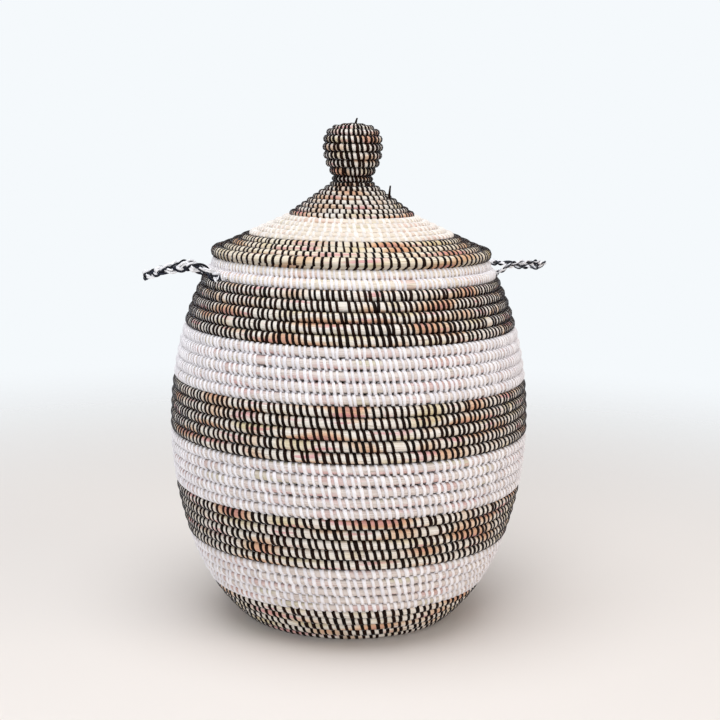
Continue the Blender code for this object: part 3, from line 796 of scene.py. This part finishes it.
def plait(name, side, shape, seed):
    """Three strands of two strips each, one dark, one white and one mixed, plaited flat and
    rather loosely.
    """
    *line, roll = shape
    points, length = handle_line(side, *line)
    along = unit(np.gradient(points, axis=0))
    flat_out = unit(np.cross(along, (0.0, 0.0, 1.0)))
    over = np.cross(flat_out, along)
    roll = side * math.radians(roll)
    upright = over * math.cos(roll) + flat_out * math.sin(roll)
    level = flat_out * math.cos(roll) - over * math.sin(roll)
    steps = PLAIT_STATIONS - 1
    bm = bmesh.new()
    for strip in range(PLAIT_STRIPS):
        before = set(bm.verts)
        bmesh.ops.create_grid(bm, x_segments=steps, y_segments=PLAIT_SIDES, size=0.5)
        made = [vert for vert in bm.verts if vert not in before]
        bmesh.ops.translate(bm, vec=(0.0, 0.0, float(strip)), verts=made)
    mesh, flat = flat_points(bm, name)
    strip = np.round(flat[:, 2]).astype(int)
    strand, half = strip // 2, strip % 2 * 2 - 1
    station = np.round((flat[:, 0] + 0.5) * steps).astype(int)
    run = station / steps * length
    chance = np.random.default_rng(seed)
    pace = drift(chance, PACE_DRIFT)[0, station]
    swell = 1 + drift(chance, WIDTH_DRIFT)[0, station]
    slack = drift(chance, PLACE_DRIFT, PLAIT_STRIPS)[strip, station]
    bulge = drift(chance, PLACE_DRIFT, PLAIT_STRIPS)[strip, station]
    breadth = 1 + drift(chance, WIDTH_DRIFT, PLAIT_STRIPS)[strip, station]
    ends = np.clip(np.minimum(run, length - run) / PLAIT_ROOT, PLAIT_CLOSED, 1.0)
    phase = 2 * np.pi * (run / PLAIT_PITCH + strand / 3) + pace
    across = (PLAIT_SWING * swell * np.sin(phase) + slack) * ends
    through = (PLAIT_DEPTH * np.sin(2 * phase) + bulge) * ends
    slope = np.arctan(PLAIT_SWING * 2 * np.pi / PLAIT_PITCH * np.cos(phase))
    sideways = upright[station] * np.cos(slope)[:, None] - along[station] * np.sin(slope)[:, None]
    turn = 2 * np.pi * flat[:, 1]
    wide = PLAIT_STRIP * breadth * (half + np.cos(turn)) * (0.6 + 0.4 * ends)
    thick = PLAIT_STRIP_THICK * np.sin(turn)
    places = points[station] + upright[station] * across[:, None]
    places += level[station] * (through + thick)[:, None]
    places += sideways * wide[:, None]
    uv = np.stack([run * 1000, flat[:, 1] * 6 + strip * 11.0], axis=1)
    corners = np.empty(len(mesh.polygons) * 4, np.int32)
    mesh.polygons.foreach_get("vertices", corners)
    white = np.isin(strip[corners.reshape(-1, 4)[:, 0]], PLAIT_WHITES)
    mesh.polygons.foreach_set("material_index", white.astype(np.int32))
    return wound(mesh, places, uv, chance.random(PLAIT_STRIPS)[strip])


def hoop_of_strip(bm, radius, thick, turn, white):
    """One turn of strip wound round a knot or a lacing."""
    before = set(bm.verts)
    made = bmesh.ops.create_circle(bm, segments=6, radius=thick)["verts"]
    upright = Matrix.Rotation(math.pi / 2, 3, "X")
    bmesh.ops.rotate(bm, cent=(0, 0, 0), matrix=upright, verts=made)
    bmesh.ops.translate(bm, vec=(radius, 0, 0), verts=made)
    edges = [edge for edge in bm.edges if edge.verts[0] in made]
    bmesh.ops.spin(bm, geom=edges, axis=(0, 0, 1), angle=2 * math.pi, steps=18, use_merge=True)
    ring_verts = [vert for vert in bm.verts if vert not in before]
    bmesh.ops.transform(bm, matrix=turn, verts=ring_verts)
    for face in bm.faces:
        if face.verts[0] not in before:
            face.material_index = int(white)


def lacing(name, side, end):
    """Where a plait goes through the wall: two turns of strip outside, and a knot of wound strip
    inside.
    """
    outward = Vector((side * ROOT_NORMAL.x, -end * ROOT_NORMAL.y, ROOT_NORMAL.z))
    outside = Vector((side * ROOT_OUTSIDE.x, -end * ROOT_OUTSIDE.y, ROOT_OUTSIDE.z))
    root = Matrix.Translation(outside) @ outward.to_track_quat("Z", "Y").to_matrix().to_4x4()
    bm = bmesh.new()
    for radius, thick, height, white in LACING_TURNS:
        hoop_of_strip(bm, radius, thick, root @ Matrix.Translation((0, 0, height)), white)
    knot = root @ Matrix.Translation((0, 0, KNOT_DEPTH))
    for tilt_x, tilt_y, white in KNOT_TURNS:
        turn = Matrix.Rotation(math.radians(tilt_x), 4, "X")
        turn = turn @ Matrix.Rotation(math.radians(tilt_y), 4, "Y")
        hoop_of_strip(bm, KNOT_RADIUS, KNOT_STRIP, knot @ turn, white)
    bmesh.ops.create_uvsphere(bm, u_segments=10, v_segments=6, radius=KNOT_CORE, matrix=knot)
    bmesh.ops.recalc_face_normals(bm, faces=bm.faces[:])
    mesh, places = flat_points(bm, name)
    uv = places[:, :2] * 1000
    return wound(mesh, places, uv, np.full(len(places), 0.5))


for label, side in (("left", -1), ("right", 1)):
    made = plait(f"handle_{label}_plait", side, HANDLE_SHAPES[label], PLAIT_SEED + side)
    braid = show(made, ["navy", "handle_white"])
    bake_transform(braid)
    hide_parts(f"handle_{label}_loop")
    for end_label, end in (("front", 1), ("back", -1)):
        laced = lacing(f"handle_{label}_lacing_{end_label}", side, end)
        root_node = f"handle_{label}_root_{end_label}"
        show(laced, ["navy", "handle_white"], "basket", root_node)


def loose_end(name, base, out, bend, finish, body):
    """The cut end of a strip that the maker left standing, curled a little."""
    bm = bmesh.new()
    bmesh.ops.create_grid(bm, x_segments=10, y_segments=1, size=0.5)
    bmesh.ops.solidify(bm, geom=bm.faces[:], thickness=LOOSE_THICK)
    mesh, flat = flat_points(bm, name)
    base, out, bend = np.array(base), np.array(out), np.array(bend)
    breadth = np.cross(out, bend)
    breadth /= np.linalg.norm(breadth)
    face = np.cross(breadth, out)
    face /= np.linalg.norm(face)
    share = (flat[:, 0] + 0.5)[:, None]
    places = base + out * share + bend * share**2
    places += breadth * flat[:, 1:2] * LOOSE_WIDTH * (1 - 0.5 * share) + face * flat[:, 2:3]
    uv = np.stack([share[:, 0] * 12, flat[:, 1] * 2], axis=1)
    cut = wound(mesh, places, uv, np.full(len(flat), 0.5))
    show(cut, [finish], body)


for number, end in enumerate(LOOSE_ENDS, 1):
    loose_end(f"loose_end_{number}", *end)


# Studio: a pale floor that fades into a pale surround, three soft lamps, and the camera at the
# photo's angle

FLOOR_RADIUS = 3.0
SURROUND = "#F5F9FC"
LAMPS_AIM = (0, 0, 0.25)
LAMPS = (
    ("overhead", (-0.3, -0.4, 2.3), 2.2, 38, "#FBFCFF"),
    ("window", (-1.4, -2.4, 0.95), 1.6, 29, "#FBFDFF"),
    ("bounce", (2.1, -1.6, 0.5), 1.4, 19, "#FFECDA"),
)
# The camera of the photo: its bearing from the front, its distance from the basket's axis, its
# height, which is that of the knob's top, how far it looks down, aside and leans, in degrees,
# and its focal length and picture in pixels
CAMERA_BEARING = -17.5
CAMERA_DISTANCE = 1.332
CAMERA_HEIGHT = 0.461
CAMERA_DOWN, CAMERA_ASIDE, CAMERA_LEANS = 9.26, 0.42, 0.9
FOCAL_PIXELS = 1417
PICTURE_PIXELS = 720
SENSOR_MM = 36.0


def pale_floor():
    """A smooth painted floor that keeps the basket's shadow and fades out before its rim."""
    material, tree, shader = new_material("pale_painted_floor")
    place = add(tree, "ShaderNodeTexCoord").outputs["Object"]
    reach = add(tree, "ShaderNodeVectorMath", {"operation": "LENGTH"}, {0: place}).outputs["Value"]
    smooth = {"interpolation_type": "SMOOTHSTEP"}
    fade = add(tree, "ShaderNodeMapRange", smooth, {0: reach, 1: 0.35, 2: 1.5}).outputs[0]
    clear = add(tree, "ShaderNodeBsdfTransparent").outputs[0]
    sockets = {0: fade, 1: shader.outputs[0], 2: clear}
    blend = add(tree, "ShaderNodeMixShader", None, sockets).outputs[0]
    tree.links.new(blend, tree.nodes["Material Output"].inputs["Surface"])
    shader.inputs["Base Color"].default_value = colour("#ECE6E0")
    shader.inputs["Roughness"].default_value = 0.8
    bm = bmesh.new()
    under = Matrix.Translation((0, 0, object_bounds()[0].z))
    bmesh.ops.create_circle(bm, cap_ends=True, segments=64, radius=FLOOR_RADIUS, matrix=under)
    mesh = bpy.data.meshes.new("floor")
    bm.to_mesh(mesh)
    bm.free()
    mesh.materials.append(material)
    floor = bpy.data.objects.new("floor", mesh)
    bpy.context.scene.collection.objects.link(floor)


def surround():
    """The light from all round, which the camera and clear or shiny surfaces see as a plain pale
    wall.
    """
    world = bpy.data.worlds.new("pale_surround")
    bpy.context.scene.world = world
    world.use_nodes = True
    tree = world.node_tree
    seen = {"Color": colour(SURROUND), "Strength": 1.0}
    seen = add(tree, "ShaderNodeBackground", None, seen).outputs[0]
    light = {"Color": colour("#FAFBFF"), "Strength": 0.38}
    light = add(tree, "ShaderNodeBackground", None, light).outputs[0]
    path = add(tree, "ShaderNodeLightPath").outputs
    direct = reckoned(tree, "MAXIMUM", path["Is Camera Ray"], path["Is Glossy Ray"])
    direct = reckoned(tree, "MAXIMUM", direct, path["Is Transmission Ray"])
    sockets = {0: direct, 1: light, 2: seen}
    blend = add(tree, "ShaderNodeMixShader", None, sockets).outputs[0]
    tree.links.new(blend, tree.nodes["World Output"].inputs["Surface"])


def soft_lamp(name, place, width, watts, tone):
    lamp = bpy.data.lights.new(name, "AREA")
    lamp.shape = "DISK"
    lamp.size = width
    lamp.energy = watts
    lamp.color = colour(tone)[:3]
    obj = bpy.data.objects.new(name, lamp)
    obj.location = place
    aim = Vector(LAMPS_AIM) - Vector(place)
    obj.rotation_euler = aim.to_track_quat("-Z", "Y").to_euler()
    bpy.context.scene.collection.objects.link(obj)


def photo_camera():
    bearing = math.radians(CAMERA_BEARING)
    camera = bpy.data.cameras.new("photo_camera")
    camera.sensor_width = SENSOR_MM
    camera.lens = SENSOR_MM * FOCAL_PIXELS / PICTURE_PIXELS
    camera.clip_start = 0.05
    obj = bpy.data.objects.new("photo_camera", camera)
    ahead = -math.cos(bearing) * CAMERA_DISTANCE
    obj.location = (math.sin(bearing) * CAMERA_DISTANCE, ahead, CAMERA_HEIGHT)
    turn = Matrix.Rotation(bearing - math.radians(CAMERA_ASIDE), 4, "Z")
    turn = turn @ Matrix.Rotation(math.radians(90 - CAMERA_DOWN), 4, "X")
    turn = turn @ Matrix.Rotation(math.radians(CAMERA_LEANS), 4, "Z")
    obj.rotation_euler = turn.to_euler()
    bpy.context.scene.collection.objects.link(obj)
    bpy.context.scene.camera = obj


pale_floor()
surround()
for lamp in LAMPS:
    soft_lamp(*lamp)
photo_camera()
bpy.context.scene.view_settings.view_transform = "Standard"
